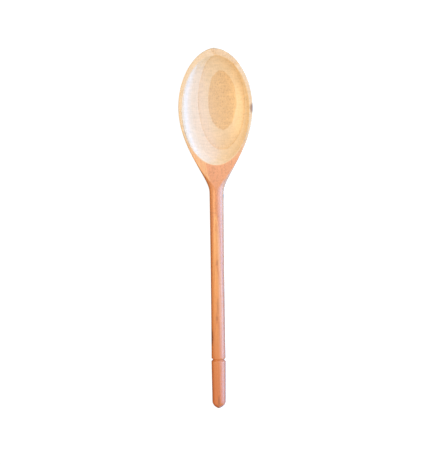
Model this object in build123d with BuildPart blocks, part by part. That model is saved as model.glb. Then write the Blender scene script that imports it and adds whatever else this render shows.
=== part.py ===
from build123d import *
from math import atan, cos, radians, sin, sqrt
import os

# A one-piece beech cooking spoon, divided into bowl, neck, handle and handle end.
# It lies face up on a flat surface at Z 0: length along Y with the bowl's tip at +Y, width along X.
# All lengths are in millimetres.

# Lengths along the spoon
head_length = 119.5
shaft_length = 139.7
end_length = 40.8
land_length = 23.0

# The head's outside
bowl_width = 61.8
back_depth = 9.0
rim_over_shaft = 0.2
rim_edge_drop = 1.5
tip_flat = 0.1
land_lead = 9.0
outer_edge_rounding = 0.8

# The hollow, and the wood that it leaves
tip_rim_width = 6.5
side_rim_width = 3.2
floor_thickness = 5.7
hollow_end_wall = 1.5
hollow_centre_rise = 4.5
hollow_edge_rounding = 0.6

# The turned shaft and end
neck_diameter = 12.0
waist_diameter = 11.5
shaft_low_diameter = 11.9
end_top_diameter = 12.1
end_low_diameter = 11.3
groove_width = 2.5
groove_depth = 1.3
shoulder_rounding = 0.4
nose_length = 5.6

# Where the bowl is widest, as a share of the head from its tip
widest_share = 0.4134

# Shapes of the outline and of the back: 0.5 is an ellipse, 1 a parabola
tip_outline_share = 0.56
tip_back_share = 0.75

# How the nose's curve starts at the tip and ends on the side, and where the loft's sections stand
nose_tip_share = 0.38
nose_side_share = 0.50
front_sections = 8
rear_sections = 10

total_length = head_length + shaft_length + end_length
neck_radius = neck_diameter / 2
rim_height = neck_radius + rim_over_shaft
widest_from_tip = widest_share * head_length
hollow_end = head_length - land_length
end_low_radius = end_low_diameter / 2
nose_start = total_length - nose_length
groove_place = head_length + shaft_length


def fade(share):
    """Goes smoothly from 1 at share 0 to 0 at share 1."""
    return cos(radians(90 * min(max(share, 0), 1))) ** 2


def front_share(place):
    """How much of the widest section's ellipse is left at a place between the tip and the widest."""
    return 1 - (1 - (place + tip_flat) / (widest_from_tip + tip_flat)) ** 2


def rear_share(place):
    return (place - widest_from_tip) / (head_length - widest_from_tip)


def half_width(place):
    if place < widest_from_tip:
        return bowl_width / 2 * front_share(place) ** tip_outline_share
    swell = (bowl_width / 2) ** 2 - neck_radius**2
    return sqrt(neck_radius**2 + swell * fade(rear_share(place)))


def centre_height(place):
    start = hollow_end - land_lead
    return (rim_height - rim_edge_drop) * fade((place - start) / (head_length - start))


def half_height(place):
    """From the widest edge of the section down to the back."""
    if place < widest_from_tip:
        full = rim_height - rim_edge_drop + back_depth
        return full * front_share(place) ** tip_back_share
    depth = neck_radius + (back_depth - neck_radius) * fade(rear_share(place))
    return min(centre_height(place) + depth, half_width(place))


def section_places():
    """Places along the head, close together at the tip and even behind the widest section."""
    front = [widest_from_tip * (1 - cos(radians(90 * i / front_sections))) for i in range(front_sections)]
    rear_length = head_length - widest_from_tip
    rear = [widest_from_tip + rear_length * i / rear_sections for i in range(rear_sections + 1)]
    return front + rear


# The spoon rests on the bowl's back and on the end, so its axis slopes down towards the end
slope = atan((back_depth - end_low_radius) / (nose_start - widest_from_tip))


def reach_below_tip(place):
    """How far the back at a place lies under the axis at the tip."""
    back = half_height(place) - centre_height(place)
    return place * sin(slope) + back * cos(slope)


spoon = Plane(
    origin=(0, total_length / 2, max(reach_below_tip(place) for place in section_places())),
    x_dir=(1, 0, 0),
    z_dir=(0, -cos(slope), -sin(slope)),
)
length_axis = Axis(spoon.origin, spoon.z_dir)
side = Plane(origin=spoon.origin, x_dir=spoon.z_dir, z_dir=(-1, 0, 0))
rim = Plane(origin=spoon.from_local_coords((0, rim_height, 0)), x_dir=(1, 0, 0), z_dir=spoon.y_dir)

# The head is one smooth form from the tip to the shaft, planed flat across the top
with BuildPart() as head:
    for place in section_places():
        with BuildSketch(spoon.offset(place)):
            with Locations((0, centre_height(place))):
                Ellipse(half_width(place), half_height(place))
    loft()
    split(bisect_by=rim, keep=Keep.BOTTOM)

# The hollow is part of an ellipsoid whose middle stands above the rim
hollow_depth = rim_height + back_depth - floor_thickness
hollow_height = hollow_depth + hollow_centre_rise
spread = sqrt(1 - (hollow_centre_rise / hollow_height) ** 2)
hollow_half_width = (bowl_width / 2 - side_rim_width) / spread
hollow_half_length = (hollow_end - tip_rim_width) / 2 / spread
with BuildPart() as hollow:
    Sphere(1)
    scale(by=(hollow_half_width, hollow_height, hollow_half_length))
hollow_place = (0, rim_height + hollow_centre_rise, (tip_rim_width + hollow_end) / 2)

bowl_cut = spoon.offset(hollow_end + hollow_end_wall)


def planed_face(piece):
    return piece.faces().filter_by(rim).sort_by(SortBy.AREA)[-1]


def outer_edges(piece):
    """The planed face's edges along the outline, without the straight one where the head is divided."""
    return planed_face(piece).outer_wire().edges().filter_by(GeomType.LINE, reverse=True)


with BuildPart() as bowl:
    add(head.part)
    split(bisect_by=bowl_cut, keep=Keep.BOTTOM)
    add(spoon.location * Pos(*hollow_place) * hollow.part, mode=Mode.SUBTRACT)
    fillet(planed_face(bowl).inner_wires()[0].edges(), hollow_edge_rounding)
    fillet(outer_edges(bowl), outer_edge_rounding)
bowl.part.label = "bowl"

with BuildPart() as neck:
    add(head.part)
    split(bisect_by=bowl_cut, keep=Keep.TOP)
    fillet(outer_edges(neck), outer_edge_rounding)
neck.part.label = "neck"

# The shaft is slimmest halfway and ends in the upper side of the groove
shaft_low_radius = shaft_low_diameter / 2
groove_radius = shaft_low_radius - groove_depth
with BuildPart() as handle:
    with BuildSketch(side):
        with BuildLine():
            shoulder = groove_place - groove_width / 2
            middle = (head_length + shoulder) / 2
            shaft = ThreePointArc(
                (head_length, neck_radius), (middle, waist_diameter / 2), (shoulder, shaft_low_radius)
            )
            Polyline(shaft @ 1, (groove_place, groove_radius), (groove_place, 0), (head_length, 0), shaft @ 0)
        make_face()
        fillet(vertices().sort_by(Axis.X)[-3], shoulder_rounding)
    revolve(axis=length_axis)
handle.part.label = "handle"

# The end below the groove tapers a little and is rounded off to a blunt nose
end_top_radius = end_top_diameter / 2
with BuildPart() as handle_end:
    with BuildSketch(side):
        with BuildLine():
            nose_end = (total_length, 0)
            nose = Bezier(
                (nose_start, end_low_radius),
                (nose_start + nose_side_share * nose_length, end_low_radius),
                (total_length, nose_tip_share * end_low_radius),
                nose_end,
            )
            end_shoulder = (groove_place + groove_width / 2, end_top_radius)
            Polyline(nose @ 1, (groove_place, 0), (groove_place, groove_radius), end_shoulder, nose @ 0)
        make_face()
    revolve(axis=length_axis)
handle_end.part.label = "handle_end"

os.makedirs("parts", exist_ok=True)
for piece in (bowl, neck, handle, handle_end):
    export_step(piece.part, f"parts/{piece.part.label}.step")
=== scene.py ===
from math import asin, atan, cos, pi, radians, sin, sqrt, tan

import bmesh
import bpy
from bpy.props import FloatProperty, FloatVectorProperty, IntProperty, PointerProperty
from bpy.types import Operator, Panel, PropertyGroup
from mathutils import Matrix, Vector
from mathutils.geometry import interpolate_bezier


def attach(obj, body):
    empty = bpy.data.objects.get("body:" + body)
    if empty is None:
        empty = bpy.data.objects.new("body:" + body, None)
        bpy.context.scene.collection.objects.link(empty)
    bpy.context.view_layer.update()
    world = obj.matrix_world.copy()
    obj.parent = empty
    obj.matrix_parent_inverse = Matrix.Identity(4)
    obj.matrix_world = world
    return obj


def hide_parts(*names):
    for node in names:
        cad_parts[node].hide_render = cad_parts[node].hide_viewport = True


bl_info = {
    "name": "Wooden spoon",
    "version": (1, 0, 0),
    "blender": (4, 5, 0),
    "location": "3D View > Sidebar > Spoon",
    "description": "Carves a one-piece beech cooking spoon and sets up the studio it lies in",
    "category": "Object",
}

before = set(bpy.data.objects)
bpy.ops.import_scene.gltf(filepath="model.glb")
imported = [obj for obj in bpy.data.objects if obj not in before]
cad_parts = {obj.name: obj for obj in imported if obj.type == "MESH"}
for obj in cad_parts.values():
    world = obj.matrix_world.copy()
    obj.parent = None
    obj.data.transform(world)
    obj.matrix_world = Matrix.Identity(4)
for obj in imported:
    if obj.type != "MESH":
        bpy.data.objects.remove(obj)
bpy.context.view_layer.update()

MM = 0.001
# Points this near are merged, and heights this near are the same
MERGED = 0.004 * MM
LEVEL = 0.01 * MM


def linear(hex_colour):
    """An sRGB hex colour as linear red, green and blue."""
    shares = [int(hex_colour[i : i + 2], 16) / 255 for i in (1, 3, 5)]
    return tuple(c / 12.92 if c <= 0.04045 else ((c + 0.055) / 1.055) ** 2.4 for c in shares)


def length(name, description, millimetres):
    """A length, written in millimetres and kept in metres."""
    return FloatProperty(
        name=name, description=description, default=millimetres * MM, subtype="DISTANCE", unit="LENGTH"
    )


def factor(name, description, value):
    return FloatProperty(name=name, description=description, default=value, precision=5)


def steps(name, description, number):
    return IntProperty(name=name, description=description, default=number)


def colour(name, description, hex_colour):
    return FloatVectorProperty(
        name=name, description=description, default=linear(hex_colour), subtype="COLOR", size=3
    )


def power(name, description, watts):
    return FloatProperty(name=name, description=description, default=watts, unit="POWER")


class SpoonSizes(PropertyGroup):
    head_length: length("Head length", "From the bowl's tip to the round shaft", 119.5)
    shaft_length: length("Shaft length", "From the head to the middle of the groove", 139.7)
    end_length: length("End length", "From the middle of the groove to the end", 40.8)
    land_length: length("Land length", "The flat from the hollow to the shaft", 23.0)
    bowl_width: length("Bowl width", "Across the bowl where it is widest", 61.8)
    back_depth: length("Back depth", "From the spoon's axis down to the bowl's back", 9.0)
    rim_over_shaft: length("Rim over shaft", "How far the planed rim stands over the shaft", 0.2)
    rim_edge_drop: length("Rim edge drop", "From the planed rim down to the widest edge", 1.5)
    tip_flat: length("Tip flat", "How far the tip's curve is cut back", 0.1)
    land_lead: length("Land lead", "Where the sections start to sink, before the hollow's end", 9.0)
    outer_rounding: length("Outer rounding", "Radius of the rim's sanded outer corner", 0.8)
    tip_rim_width: length("Tip rim width", "The rim's flat at the tip", 6.5)
    side_rim_width: length("Side rim width", "The rim's flat at the sides", 3.2)
    floor_thickness: length("Floor thickness", "The wood under the hollow's deepest place", 5.7)
    hollow_centre_rise: length("Hollow centre rise", "How far over the rim the hollow's middle stands", 4.5)
    hollow_rounding: length("Hollow rounding", "Width of the hollow's sanded corner on each side", 0.35)
    neck_diameter: length("Neck diameter", "Across the shaft at the head", 12.0)
    waist_diameter: length("Waist diameter", "Across the shaft's slimmest place", 11.5)
    shaft_low_diameter: length("Shaft low diameter", "Across the shaft above the groove", 11.9)
    end_top_diameter: length("End top diameter", "Across the end below the groove", 12.1)
    end_low_diameter: length("End low diameter", "Across the end where the nose starts", 11.3)
    groove_width: length("Groove width", "Across the turned groove at its top", 2.5)
    groove_depth: length("Groove depth", "Depth of the turned groove", 1.3)
    shoulder_rounding: length("Shoulder rounding", "The groove's worn upper shoulder", 0.4)
    crisp_rounding: length("Crisp rounding", "The groove's lower shoulder and its bottom", 0.12)
    nose_length: length("Nose length", "The rounded end", 5.6)
    widest_share: factor("Widest place", "Share of the head from its tip", 0.4134)
    tip_outline_share: factor("Tip outline", "0.5 is an ellipse, 1 a parabola", 0.56)
    tip_back_share: factor("Tip back", "0.5 is an ellipse, 1 a parabola", 0.75)
    nose_side_share: factor("Nose side", "How far the side's tangent reaches along the nose", 0.5)
    nose_tip_share: factor("Nose tip", "How far the tip's tangent reaches across the end", 0.38)
    around: steps("Steps around", "Faces around the shaft and the bowl's back", 120)
    along: steps("Steps along", "Sections between the rim's two ends", 120)


class BeechLook(PropertyGroup):
    # The bowl's pale colours and the handle's deeper ones towards the end are partly the wood's own tone and
    # partly painted light: a painted brighter bowl and painted shade towards the end, where the lamps' light
    # falls off
    early_bowl: colour("Early wood, bowl", "Pale wood of a ring's start, washed", "#ceae85")
    late_bowl: colour("Late wood, bowl", "Darker wood of a ring's end, washed", "#c99d68")
    early_neck: colour("Early wood, neck", "Pale wood of a ring's start, at the neck", "#e3aa6d")
    late_neck: colour("Late wood, neck", "Darker wood of a ring's end, at the neck", "#d88d5c")
    early_shaft: colour("Early wood, shaft", "Pale wood of a ring's start, oiled by hands", "#de9652")
    late_shaft: colour("Late wood, shaft", "Darker wood of a ring's end, oiled by hands", "#c7723c")
    early_end: colour("Early wood, end", "Pale wood of a ring's start, worn by hands", "#ca6e31")
    late_end: colour("Late wood, end", "Darker wood of a ring's end, worn by hands", "#b75525")
    ray: colour("Rays", "Short brown flecks along the grain", "#7d4c2c")
    # The stains include a streak on the handle's left edge and the darker end, both partly painted shade
    stain: colour("Stains", "Pin knots, mineral streaks and the worn end", "#6b331a")
    bend_across: factor("Bend across", "Curve of the layers across, per mm", 0.00607)
    bend_along: factor("Bend along", "Curve of the layers along, per mm", -0.00012)
    level_across: factor("Level across", "Where the layers are level, in mm to the right", 13.94)
    dip: factor("Dip", "How much the layers sink towards the tip", 0.0529)


class StudioSettings(PropertyGroup):
    floor_colour: colour("Floor", "Pale sheet that goes up round the studio", "#f4f4f2")
    floor_glow: factor("Floor glow", "How strongly the sheet is lit from behind", 1.0)
    left_card: colour("Left card", "Dark grey paper under the spoon's left side", "#3c3c3c")
    right_card: colour("Right card", "Pale blue paper under the spoon's right side", "#b0d6f4")
    window_colour: colour("Window light", "Blue skylight from the right", "#7ab1ff")
    window_power: power("Window power", "The tall window", 44.0)
    low_window_colour: colour("Low window light", "Light from the window's foot", "#7cbaff")
    low_window_power: power("Low window power", "The window's foot", 20.0)
    lamp_colour: colour("Lamp light", "Warm lamp on the left", "#ffdaa0")
    lamp_power: power("Lamp power", "The lamp on the left", 7.0)
    room_colour: colour("Room light", "What the pale tent gives", "#fff5d7")
    room_light: factor("Room strength", "How bright the tent is", 1.0)
    camera_height: length("Camera height", "From the floor up to the lens", 650)
    camera_right: length("Camera right", "From the spoon's middle to the right", -1.8)
    camera_up: length("Camera up", "From the spoon's middle towards its tip", -2.8)
    camera_roll: FloatProperty(
        name="Camera roll", description="Turn of the picture", default=radians(-0.7), subtype="ANGLE"
    )
    rim_level: length("Rim level", "Height over the floor at which the picture is measured", 10)
    picture_height: length("Picture height", "From the picture's bottom to its top at that level", 387.3)


# How far a rounded corner's curve reaches towards the sharp one, and the points on each curve
ROUND_HANDLE = 0.6
ROUND_POINTS = 6
NOSE_POINTS = 17


class Form:
    """The spoon's own frame and the curves that its surfaces follow, in metres."""

    def __init__(self, s):
        self.s = s
        self.neck_radius = s.neck_diameter / 2
        self.total = s.head_length + s.shaft_length + s.end_length
        self.rim = self.neck_radius + s.rim_over_shaft
        self.widest = s.widest_share * s.head_length
        self.hollow_end = s.head_length - s.land_length
        self.groove = s.head_length + s.shaft_length
        self.nose_start = self.total - s.nose_length

        hollow_height = self.rim + s.back_depth - s.floor_thickness + s.hollow_centre_rise
        spread = sqrt(1 - (s.hollow_centre_rise / hollow_height) ** 2)
        half_width = (s.bowl_width / 2 - s.side_rim_width) / spread
        half_length = (self.hollow_end - s.tip_rim_width) / 2 / spread
        middle_place = (s.tip_rim_width + self.hollow_end) / 2
        self.hollow_reach = Vector((half_width, hollow_height, half_length))
        self.hollow_middle = Vector((0, self.rim + s.hollow_centre_rise, middle_place))

        self.slope = atan((s.back_depth - s.end_low_diameter / 2) / (self.nose_start - self.widest))
        fall, flat = sin(self.slope), cos(self.slope)
        places = [self.widest * i / 60 for i in range(80)]
        reach_down = max(p * fall + (self.half_height(p) - self.centre(p)) * flat for p in places)
        self.placed = Matrix(
            (
                (1, 0, 0, 0),
                (0, -fall, -flat, self.total / 2),
                (0, flat, -fall, reach_down),
                (0, 0, 0, 1),
            )
        )

    @staticmethod
    def fade(share):
        """Goes smoothly from 1 at share 0 to 0 at share 1."""
        return cos(pi / 2 * min(max(share, 0), 1)) ** 2

    def front(self, place):
        return 1 - (1 - (place + self.s.tip_flat) / (self.widest + self.s.tip_flat)) ** 2

    def rear(self, place):
        return (place - self.widest) / (self.s.head_length - self.widest)

    def half_width(self, place):
        if place < self.widest:
            return self.s.bowl_width / 2 * self.front(place) ** self.s.tip_outline_share
        swell = (self.s.bowl_width / 2) ** 2 - self.neck_radius**2
        return sqrt(self.neck_radius**2 + swell * self.fade(self.rear(place)))

    def centre(self, place):
        """Height of a section's widest edge over the spoon's axis."""
        start = self.hollow_end - self.s.land_lead
        return (self.rim - self.s.rim_edge_drop) * self.fade((place - start) / (self.s.head_length - start))

    def half_height(self, place):
        if place < self.widest:
            full = self.rim - self.s.rim_edge_drop + self.s.back_depth
            return full * self.front(place) ** self.s.tip_back_share
        depth = self.neck_radius + (self.s.back_depth - self.neck_radius) * self.fade(self.rear(place))
        return min(self.centre(place) + depth, self.half_width(place))

    def planed(self, place):
        """How far a section's top would stand over the planed rim."""
        return self.centre(place) + self.half_height(place) - self.rim

    def rim_ends(self):
        """Where the planed rim starts at the tip and ends on the neck."""
        ends = []
        for low, high in ((0, self.widest), (self.s.head_length, self.widest)):
            for _ in range(40):
                middle = (low + high) / 2
                low, high = (low, middle) if self.planed(middle) > 0 else (middle, high)
            ends.append(high)
        return ends

    def section(self, place):
        """Points of a section as (across, up), from the planed rim's right edge over the back to its left."""
        wide, high, centre = self.half_width(place), self.half_height(place), self.centre(place)
        start = asin(min((self.rim - centre) / high, 1))
        corner = Vector((wide * cos(start), min(self.rim, centre + high)))
        run = Vector((wide * sin(start), -high * cos(start)))
        turn = run.angle(Vector((1, 0)))
        reach = min(self.s.outer_rounding * tan(turn / 2), 0.3 * corner.x)
        skin_start = start - reach / run.length
        sweep = pi + 2 * skin_start
        angles = [skin_start - sweep * i / self.s.around for i in range(self.s.around // 2 + 1)]
        skin = [Vector((wide * cos(angle), centre + high * sin(angle))) for angle in angles]
        inner = corner - Vector((reach, 0))
        handles = inner.lerp(corner, ROUND_HANDLE), skin[0].lerp(corner, ROUND_HANDLE)
        rounding = interpolate_bezier(inner, *handles, skin[0], ROUND_POINTS)
        half = [Vector(point[:2]) for point in rounding[:-1]] + skin
        return half + [Vector((-point.x, point.y)) for point in reversed(half[:-1])]


def spoon_skin(bm, form):
    """The outside of the head: a grid with one row of points on each section, closed at the tip."""
    s = form.s
    start, end = form.rim_ends()
    places = [start * i / 4 for i in range(4)]
    places += [start + (end - start) * (1 - cos(pi * i / s.along)) / 2 for i in range(s.along + 1)]
    places += [end + (s.head_length - end) * i / 3 for i in (1, 2, 3)]
    across = len(form.section(form.widest))
    grid = bmesh.ops.create_grid(bm, x_segments=across - 1, y_segments=len(places) - 1, size=1)
    for row, place in enumerate(places):
        row_verts = grid["verts"][row * across : (row + 1) * across]
        for point, vert in zip(form.section(place), row_verts):
            vert.co = (point.x, point.y, place)
    bmesh.ops.remove_doubles(bm, verts=bm.verts, dist=MERGED)
    tip = [e for e in bm.edges if e.is_boundary and all(v.co.z < LEVEL for v in e.verts)]
    cap = bmesh.ops.edgeloop_fill(bm, edges=tip)
    bmesh.ops.poke(bm, faces=cap["faces"])


def round_off(bm, edges, width):
    """Sands a ring of edges to a round corner."""
    bmesh.ops.bevel(
        bm,
        geom=edges,
        offset=width,
        segments=4,
        profile=0.5,
        affect="EDGES",
        material=-1,
        clamp_overlap=False,
    )


def spoon_hollow(bm, form):
    """The lower part of a stretched ball, joined to the skin by the planed rim."""
    s = form.s
    middle = Matrix.Translation(form.hollow_middle)
    reach = Matrix.Diagonal((*form.hollow_reach, 1))
    pole_up = Matrix.Rotation(radians(-90), 4, "X")
    ball = bmesh.ops.create_uvsphere(
        bm, u_segments=2 * s.along, v_segments=90, radius=1, matrix=middle @ reach @ pole_up
    )
    ball_verts = set(ball["verts"])
    ball_edges = [e for e in bm.edges if e.verts[0] in ball_verts]
    ball_faces = [f for f in bm.faces if f.verts[0] in ball_verts]
    cut = bmesh.ops.bisect_plane(
        bm,
        geom=ball["verts"] + ball_edges + ball_faces,
        dist=0.001 * MM,
        plane_co=(0, form.rim, 0),
        plane_no=(0, 1, 0),
        clear_outer=True,
    )
    mouth = [e for e in cut["geom_cut"] if isinstance(e, bmesh.types.BMEdge)]
    mouth_verts = {v for e in mouth for v in e.verts}
    open_edges = [e for e in bm.edges if e.is_boundary and not mouth_verts.issuperset(e.verts)]
    outline = [e for e in open_edges if all(v.co.z < s.head_length - MM for v in e.verts)]
    land = bmesh.ops.bridge_loops(bm, edges=outline + mouth)
    land_faces = set(land["faces"])
    land_edges = [e for e in bm.edges if land_faces.issuperset(e.link_faces)]
    rungs = [e for e in land_edges if (e.verts[0] in mouth_verts) != (e.verts[1] in mouth_verts)]
    bmesh.ops.subdivide_edges(bm, edges=rungs, cuts=5, use_grid_fill=True)
    round_off(bm, mouth, s.hollow_rounding)


def turned_shaft(bm, form):
    """The shaft, the groove and the rounded end, turned from one profile of (radius, place) points."""
    s = form.s
    neck = Vector((form.neck_radius, s.head_length))
    shoulder = Vector((s.shaft_low_diameter / 2, form.groove - s.groove_width / 2))
    bottom = Vector((s.shaft_low_diameter / 2 - s.groove_depth, form.groove))
    crisp = Vector((s.end_top_diameter / 2, form.groove + s.groove_width / 2))
    nose_side = Vector((s.end_low_diameter / 2, form.nose_start))
    sag = (neck.x + shoulder.x - s.waist_diameter) / 2
    profile = [neck.lerp(shoulder, i / 30) - Vector((sag * (1 - (i / 15 - 1) ** 2), 0)) for i in range(30)]
    profile += [shoulder, bottom, crisp]
    profile += [crisp.lerp(nose_side, i / 8) for i in range(1, 8)]
    nose = interpolate_bezier(
        nose_side,
        nose_side + Vector((0, s.nose_side_share * s.nose_length)),
        Vector((s.nose_tip_share * nose_side.x, form.total)),
        Vector((0, form.total)),
        NOSE_POINTS,
    )
    profile += [Vector(point[:2]) for point in nose]
    verts = [bm.verts.new((0, point.x, point.y)) for point in profile]
    wire = [bm.edges.new(pair) for pair in zip(verts, verts[1:])]
    bmesh.ops.spin(
        bm, geom=verts + wire, axis=(0, 0, 1), cent=(0, 0, 0), angle=2 * pi, steps=s.around, use_merge=True
    )
    for corner, width in (
        (shoulder, s.shoulder_rounding),
        (bottom, s.crisp_rounding),
        (crisp, s.crisp_rounding),
    ):
        near = {v for v in bm.verts if abs(v.co.z - corner.y) < LEVEL and v.co.xy.length > corner.x / 2}
        round_off(bm, [e for e in bm.edges if near.issuperset(e.verts)], width)


def finished_piece(name, bm, placed, closed=True):
    """Makes a bmesh an object that stands where its points are."""
    bmesh.ops.remove_doubles(bm, verts=bm.verts, dist=MERGED)
    bmesh.ops.transform(bm, matrix=placed, verts=bm.verts)
    bmesh.ops.recalc_face_normals(bm, faces=bm.faces)
    if closed and not all(edge.is_manifold for edge in bm.edges):
        raise RuntimeError(name + " has an open edge")
    for face in bm.faces:
        face.smooth = True
    mesh = bpy.data.meshes.new(name)
    bm.to_mesh(mesh)
    bm.free()
    piece = bpy.data.objects.new(name, mesh)
    bpy.context.scene.collection.objects.link(piece)
    return piece


def add_node(tree, kind, inputs, **settings):
    """Adds a node with its settings. Each input gets a value, a socket, or a node's first output."""
    added = tree.nodes.new("ShaderNode" + kind)
    for name, value in settings.items():
        setattr(added, name, value)
    for socket, value in inputs.items():
        if isinstance(value, bpy.types.Node):
            value = value.outputs[0]
        if isinstance(value, bpy.types.NodeSocket):
            tree.links.new(value, added.inputs[socket])
        else:
            added.inputs[socket].default_value = value
    return added


def fill_ramp(ramp, stops):
    """Gives a colour ramp its stops, each a position and a colour."""
    elements = ramp.color_ramp.elements
    elements.remove(elements[1])
    for number, (position, stop_colour) in enumerate(stops):
        stop = elements.new(position) if number else elements[0]
        stop.position, stop.color = position, (*stop_colour, 1)


# Growth rings as heights over the layers in mm, each with how dark the wood is there
LAYERS_FROM, LAYERS_TO = -12.0, 24.0
BOWL_RINGS = (
    (-12.0, 0.4),
    (1.4, 0.88),
    (1.75, 1.0),
    (1.87, 0.05),
    (3.2, 0.22),
    (5.3, 0.5),
    (5.5, 0.7),
    (5.8, 1.0),
    (5.95, 0.1),
    (9.6, 0.26),
    (9.85, 0.32),
    (10.0, 0.08),
    (12.0, 0.12),
    (24.0, 0.2),
)
SHAFT_RINGS = (
    (-1.5, 0.8),
    (-1.4, 0.2),
    (1.1, 0.8),
    (1.2, 0.2),
    (3.9, 0.8),
    (4.0, 0.3),
    (6.3, 0.85),
    (6.4, 0.35),
    (8.4, 0.9),
    (8.5, 0.4),
    (10.2, 0.9),
    (10.3, 0.5),
    (11.2, 0.85),
    (14.28, 1.0),
    (14.4, 0.12),
    (14.5, 0.3),
    (14.68, 0.95),
    (14.78, 0.2),
    (15.4, 0.4),
    (15.68, 0.85),
    (15.78, 0.25),
    (16.9, 0.4),
    (17.0, 0.85),
    (17.1, 0.25),
    (17.8, 0.5),
    (18.0, 0.3),
    (19.2, 0.5),
    (19.3, 0.3),
)

# Places along the spoon in mm, whose tip is at 150 and whose end is at -150
LAYERS_BEND = {"From Min": 128, "From Max": 150, "To Max": -1.35}
BOWL_TO_NECK = {"From Min": 88, "From Max": 62}
# Over this span the handle's colours deepen, partly as painted shade where the lamps' light falls off towards
# the end
NECK_TO_END = {"From Min": 80, "From Max": -150}
# Where the colours of the bowl, the neck, the shaft and the end lie between the neck and the end
TINT_STOPS = (0.0, 0.10, 0.50, 1.0)

# Pin knots, mineral streaks, a dark streak on the handle's left edge and the darker end, the last two partly
# painted shade: middle and reach in mm, and how dark
STAINS = (
    ((5.4, 27.5, 9.9), (1.5, 1.8, 2.0), 0.85),
    ((-2.1, 46.6, 14.5), (0.8, 0.9, 1.0), 0.35),
    ((29.8, 99.9, 14.6), (2.2, 5.6, 2.4), 0.7),
    ((-0.3, -27.9, 13.1), (1.1, 3.4, 1.2), 0.34),
    ((-0.1, -64.2, 12.6), (0.8, 9.0, 1.0), 0.3),
    ((-1.0, -74.2, 12.2), (1.3, 3.0, 1.2), 0.36),
    # A dark streak, partly a mark and partly painted shade on the handle's left edge, which faces away from
    # the lights
    ((-5.4, -90.0, 8.2), (2.2, 9.0, 4.0), 0.75),
    ((-0.2, -143.0, 11.4), (0.9, 6.0, 2.0), 0.5),
    # The darker end: partly worn by hands and partly painted shade on the end, which faces away from the
    # lights
    ((0.0, -151.5, 5.6), (9.0, 5.0, 9.0), 0.5),
)


def layer_height(tree, look, place):
    """How far a place in the wood stands over the growth layers, which are gently curved sheets."""
    x, y, z = add_node(tree, "SeparateXYZ", {0: place}).outputs
    slant = add_node(tree, "Math", {0: y, 1: look.bend_along, 2: -look.dip}, operation="MULTIPLY_ADD")
    lengthwise = add_node(tree, "Math", {0: y, 1: slant, 2: z}, operation="MULTIPLY_ADD")
    off_level = add_node(tree, "Math", {0: x, 1: look.level_across}, operation="SUBTRACT")
    square = add_node(tree, "Math", {0: off_level, 1: off_level}, operation="MULTIPLY")
    height = add_node(tree, "Math", {0: square, 1: look.bend_across, 2: lengthwise}, operation="MULTIPLY_ADD")
    tip = add_node(tree, "MapRange", {"Value": y, **LAYERS_BEND}, interpolation_type="SMOOTHSTEP")
    height = add_node(tree, "Math", {0: height, 1: tip})
    # A tree never grows evenly, so the layers wander a little, in long and in short swells
    for cell, amount in (((14, 60, 14), 1.0), ((2, 8, 2), 0.45)):
        stretched = add_node(tree, "Mapping", {"Vector": place, "Scale": [1 / c for c in cell]})
        wander = add_node(tree, "TexNoise", {"Vector": stretched, "Scale": 1, "Detail": 2})
        offset = add_node(tree, "Math", {0: wander, 1: amount, 2: -amount / 2}, operation="MULTIPLY_ADD")
        height = add_node(tree, "Math", {0: height, 1: offset})
    return height


def layer_tones(tree, height, rings):
    """How dark the wood is at a height over the layers."""
    span = LAYERS_TO - LAYERS_FROM
    level = add_node(tree, "MapRange", {"Value": height, "From Min": LAYERS_FROM, "From Max": LAYERS_TO})
    ramp = add_node(tree, "ValToRGB", {"Fac": level})
    fill_ramp(ramp, [((ring - LAYERS_FROM) / span, (dark,) * 3) for ring, dark in rings])
    return ramp


def handled_share(tree, form, place, y):
    """1 on the neck and the shaft, 0 in the hollow and on the bowl."""
    across, up, along = form.hollow_reach / MM
    in_hollow = add_node(
        tree,
        "Mapping",
        {
            "Vector": place,
            "Location": form.placed @ form.hollow_middle / MM,
            "Rotation": (form.slope, 0, 0),
            "Scale": (across, along, up),
        },
        vector_type="TEXTURE",
    )
    from_middle = add_node(tree, "VectorMath", {0: in_hollow}, operation="LENGTH").outputs["Value"]
    outside = add_node(tree, "MapRange", {"Value": from_middle, "From Min": 1.004, "From Max": 1.02})
    near = add_node(tree, "MapRange", {"Value": y, **BOWL_TO_NECK}, interpolation_type="SMOOTHSTEP")
    return add_node(tree, "Math", {0: near, 1: outside}, operation="MULTIPLY")


def stain_share(tree, place):
    """How dark the strongest stain is at a place."""
    strongest = 0.0
    for middle, reach, strength in STAINS:
        beside = add_node(
            tree, "Mapping", {"Vector": place, "Location": middle, "Scale": reach}, vector_type="TEXTURE"
        )
        away = add_node(tree, "VectorMath", {0: beside}, operation="LENGTH").outputs["Value"]
        spot = add_node(
            tree,
            "MapRange",
            {"Value": away, "From Min": 1, "From Max": 0.4, "To Max": strength},
            interpolation_type="SMOOTHSTEP",
        )
        strongest = add_node(tree, "Math", {0: strongest, 1: spot}, operation="MAXIMUM")
    return strongest


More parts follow.
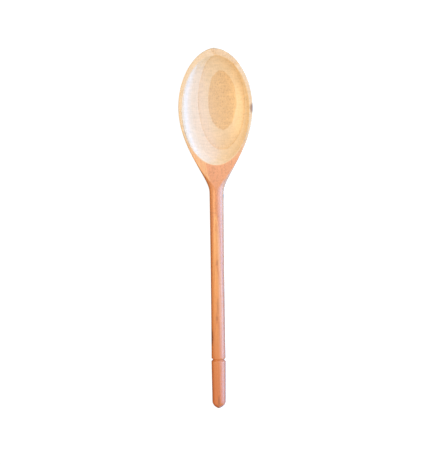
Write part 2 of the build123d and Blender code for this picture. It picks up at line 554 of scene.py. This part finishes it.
def beech(look, form):
    """Bare beech, sawn flat, carved, turned and sanded, then washed and worn by use.

    The growth layers are gently curved sheets, so the hollow cuts them in closed ovals and the shaft in tall
    arches. Each ring goes from pale early wood to a darker, speckled edge. The pale bowl and the orange
    handle, darker towards the end, are partly the wood's own tone and partly painted light: a painted
    brighter bowl and painted shade towards the end, where the lamps' light falls off.
    """
    material = bpy.data.materials.new("beech_sanded")
    material.use_nodes = True
    tree = material.node_tree
    shader = tree.nodes["Principled BSDF"]
    metres = add_node(tree, "TexCoord", {}).outputs["Object"]
    place = add_node(tree, "VectorMath", {0: metres, "Scale": 1 / MM}, operation="SCALE")
    y = add_node(tree, "SeparateXYZ", {0: place}).outputs["Y"]

    # Dark is 0 in pale early wood and 1 at the dark edge of a ring
    height = layer_height(tree, look, place)
    handled = handled_share(tree, form, place, y)
    bowl_tones = layer_tones(tree, height, BOWL_RINGS)
    shaft_tones = layer_tones(tree, height, SHAFT_RINGS)
    dark = add_node(tree, "Mix", {0: handled, 2: bowl_tones, 3: shaft_tones})

    # The handle's colours deepen from the neck to the end, partly the wood's own tone and partly painted
    # shade where the lamps' light falls off towards the end
    lengthways = add_node(tree, "MapRange", {"Value": y, **NECK_TO_END})
    tone_and_shade_along = add_node(tree, "Math", {0: lengthways, 1: handled}, operation="MULTIPLY")
    early = add_node(tree, "ValToRGB", {"Fac": tone_and_shade_along})
    late = add_node(tree, "ValToRGB", {"Fac": tone_and_shade_along})
    fill_ramp(early, zip(TINT_STOPS, (look.early_bowl, look.early_neck, look.early_shaft, look.early_end)))
    fill_ramp(late, zip(TINT_STOPS, (look.late_bowl, look.late_neck, look.late_shaft, look.late_end)))
    wood = add_node(tree, "Mix", {0: dark, 6: early, 7: late}, data_type="RGBA").outputs[2]

    # Rays are thin upright sheets that show as short brown flecks, most of all in the dark edge of a ring.
    # Real ones are 0.2 mm wide, and these are drawn 0.9 mm wide to show at all.
    ray_cells = add_node(
        tree, "Mapping", {"Vector": place, "Scale": (1 / 0.9, 1 / 1.6, 1 / 6), "Location": (1, 2, 3)}
    )
    ray_noise = add_node(tree, "TexNoise", {"Vector": ray_cells, "Scale": 1, "Detail": 2, "Roughness": 0.6})
    ray = add_node(tree, "MapRange", {"Value": ray_noise, "From Min": 0.50, "From Max": 0.70})
    ray_strength = add_node(tree, "Math", {0: dark, 1: 0.32, 2: 0.06}, operation="MULTIPLY_ADD")
    ray_share = add_node(tree, "Math", {0: ray, 1: ray_strength}, operation="MULTIPLY")
    wood = add_node(tree, "Mix", {0: ray_share, 6: wood, 7: (*look.ray, 1)}, data_type="RGBA").outputs[2]

    # The carving cutter left faint waves across the bowl, and the fibres run along the spoon
    wave_cells = add_node(tree, "Mapping", {"Vector": place, "Scale": (1 / 5, 1 / 1.3, 1 / 5)})
    wave = add_node(tree, "TexNoise", {"Vector": wave_cells, "Scale": 1, "Detail": 2, "Roughness": 0.5})
    fibre_cells = add_node(tree, "Mapping", {"Vector": place, "Scale": (1 / 0.8, 1 / 20, 1 / 0.8)})
    fibre = add_node(tree, "TexNoise", {"Vector": fibre_cells, "Scale": 1, "Detail": 3, "Roughness": 0.6})
    wave_strength = add_node(tree, "MapRange", {"Value": handled, "To Min": 0.34, "To Max": 0.10})
    waves = add_node(tree, "Math", {0: wave, 1: wave_strength, 2: 0.7}, operation="MULTIPLY_ADD")
    grain = add_node(tree, "Math", {0: fibre, 1: 0.30, 2: waves}, operation="MULTIPLY_ADD")
    wood = add_node(tree, "VectorMath", {0: wood, "Scale": grain}, operation="SCALE")
    stain = stain_share(tree, place)
    wood = add_node(tree, "Mix", {0: stain, 6: wood, 7: (*look.stain, 1)}, data_type="RGBA").outputs[2]
    tree.links.new(wood, shader.inputs["Base Color"])

    # Wood worn smooth by hands and cloths has a soft sheen over its open grain
    shader.inputs["IOR"].default_value = 1.5
    shader.inputs["Coat Weight"].default_value = 1.0
    shader.inputs["Coat Roughness"].default_value = 0.25
    dull = add_node(tree, "MapRange", {"Value": ray, "To Min": 0.45, "To Max": 0.36})
    tree.links.new(dull.outputs[0], shader.inputs["Roughness"])
    relief = add_node(tree, "Math", {0: fibre, 1: wave})
    bump = add_node(tree, "Bump", {"Height": relief, "Strength": 0.3, "Distance": 0.05 * MM})
    tree.links.new(bump.outputs[0], shader.inputs["Normal"])
    return material


def plain(name, base_colour, roughness, glow=0.0):
    """An even, matt sheet that may be lit from behind."""
    material = bpy.data.materials.new(name)
    material.use_nodes = True
    inputs = material.node_tree.nodes["Principled BSDF"].inputs
    inputs["Base Color"].default_value = (*base_colour, 1)
    inputs["Roughness"].default_value = roughness
    inputs["Emission Color"].default_value = (1, 1, 1, 1)
    inputs["Emission Strength"].default_value = glow
    return material


class SPOON_OT_spoon(Operator):
    """Carve the spoon from one piece of beech"""

    bl_idname = "spoon.spoon"
    bl_label = "Spoon"

    def execute(self, context):
        form = Form(context.scene.spoon_sizes)
        bm = bmesh.new()
        spoon_skin(bm, form)
        spoon_hollow(bm, form)
        turned_shaft(bm, form)
        spoon = finished_piece("wooden_spoon", bm, form.placed)
        spoon.data.materials.append(beech(context.scene.spoon_beech, form))
        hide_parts("bowl", "neck", "handle", "handle_end")
        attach(spoon, "root")
        return {"FINISHED"}


# How wide and high the studio is in metres, and each light's azimuth and elevation in degrees and its size
STUDIO_SPAN = 6
WINDOW = (28, 38, (2.8, 1.95))
WINDOW_FOOT = (8, 15, (2.2, 0.6))
LAMP = (165, 45, (0.7, 0.7))


def soft_light(name, azimuth, elevation, size, watts, light_colour, distance=1.3):
    """An even rectangle of light that faces the spoon. Azimuth 0 is to the picture's right and 90 is up."""
    lamp = bpy.data.lights.new(name, "AREA")
    lamp.shape = "RECTANGLE"
    lamp.size, lamp.size_y = size
    lamp.energy = watts
    lamp.color = light_colour
    holder = bpy.data.objects.new(name, lamp)
    bpy.context.scene.collection.objects.link(holder)
    turn, rise = radians(azimuth), radians(elevation)
    direction = Vector((cos(turn) * cos(rise), sin(turn) * cos(rise), sin(rise)))
    holder.location = direction * distance
    holder.rotation_euler = direction.to_track_quat("Z", "Y").to_euler()


class SPOON_OT_studio(Operator):
    """Set up the pale floor, the soft lights and the camera"""

    bl_idname = "spoon.studio"
    bl_label = "Studio"

    def execute(self, context):
        studio = context.scene.spoon_studio
        if "wooden_spoon" not in context.scene.objects:
            raise RuntimeError("The spoon is carved before its studio is set up")

        # The sheet is only the picture's ground: it neither lights the spoon nor shows in its sheen
        bm = bmesh.new()
        bmesh.ops.create_cube(bm, size=STUDIO_SPAN)
        floor = finished_piece("floor", bm, Matrix.Translation((0, 0, STUDIO_SPAN / 2)))
        floor.data.materials.append(plain("acrylic_backlit", studio.floor_colour, 0.9, studio.floor_glow))
        floor.visible_diffuse = floor.visible_glossy = floor.visible_shadow = False

        # Two cards aren't seen themselves, but the spoon's undersides reflect them
        card_reach = STUDIO_SPAN / 4
        for name, middle, card_colour in (
            ("card_grey", -card_reach, studio.left_card),
            ("card_pale_blue", card_reach, studio.right_card),
        ):
            bm = bmesh.new()
            bmesh.ops.create_grid(bm, x_segments=8, y_segments=8, size=card_reach)
            card = finished_piece(name, bm, Matrix.Translation((middle, 0, 0)), closed=False)
            card.data.materials.append(plain(name, card_colour, 0.8))
            card.visible_camera = False

        soft_light("window", *WINDOW, studio.window_power, studio.window_colour)
        soft_light("window_foot", *WINDOW_FOOT, studio.low_window_power, studio.low_window_colour)
        soft_light("lamp", *LAMP, studio.lamp_power, studio.lamp_colour)
        world = bpy.data.worlds.new("tent")
        world.use_nodes = True
        tent = world.node_tree.nodes["Background"].inputs
        tent["Color"].default_value = (*studio.room_colour, 1)
        tent["Strength"].default_value = studio.room_light
        context.scene.world = world
        context.scene.view_settings.view_transform = "Standard"

        lens = bpy.data.cameras.new("camera")
        lens.sensor_fit = "VERTICAL"
        lens.sensor_height = 24
        lens.lens = lens.sensor_height * (studio.camera_height - studio.rim_level) / studio.picture_height
        camera = bpy.data.objects.new("camera", lens)
        context.scene.collection.objects.link(camera)
        camera.location = (studio.camera_right, studio.camera_up, studio.camera_height)
        camera.rotation_euler = (0, 0, studio.camera_roll)
        context.scene.camera = camera
        return {"FINISHED"}


class SPOON_PT_panel(Panel):
    bl_idname = "SPOON_PT_panel"
    bl_label = "Wooden spoon"
    bl_space_type = "VIEW_3D"
    bl_region_type = "UI"
    bl_category = "Spoon"

    def draw(self, context):
        for operator in (SPOON_OT_spoon, SPOON_OT_studio):
            self.layout.operator(operator.bl_idname)


CLASSES = (SpoonSizes, BeechLook, StudioSettings, SPOON_OT_spoon, SPOON_OT_studio, SPOON_PT_panel)


def register():
    for cls in CLASSES:
        bpy.utils.register_class(cls)
    bpy.types.Scene.spoon_sizes = PointerProperty(type=SpoonSizes)
    bpy.types.Scene.spoon_beech = PointerProperty(type=BeechLook)
    bpy.types.Scene.spoon_studio = PointerProperty(type=StudioSettings)


def unregister():
    del bpy.types.Scene.spoon_studio
    del bpy.types.Scene.spoon_beech
    del bpy.types.Scene.spoon_sizes
    for cls in reversed(CLASSES):
        bpy.utils.unregister_class(cls)


def main():
    register()
    bpy.ops.spoon.spoon()
    bpy.ops.spoon.studio()


if __name__ == "__main__":
    main()
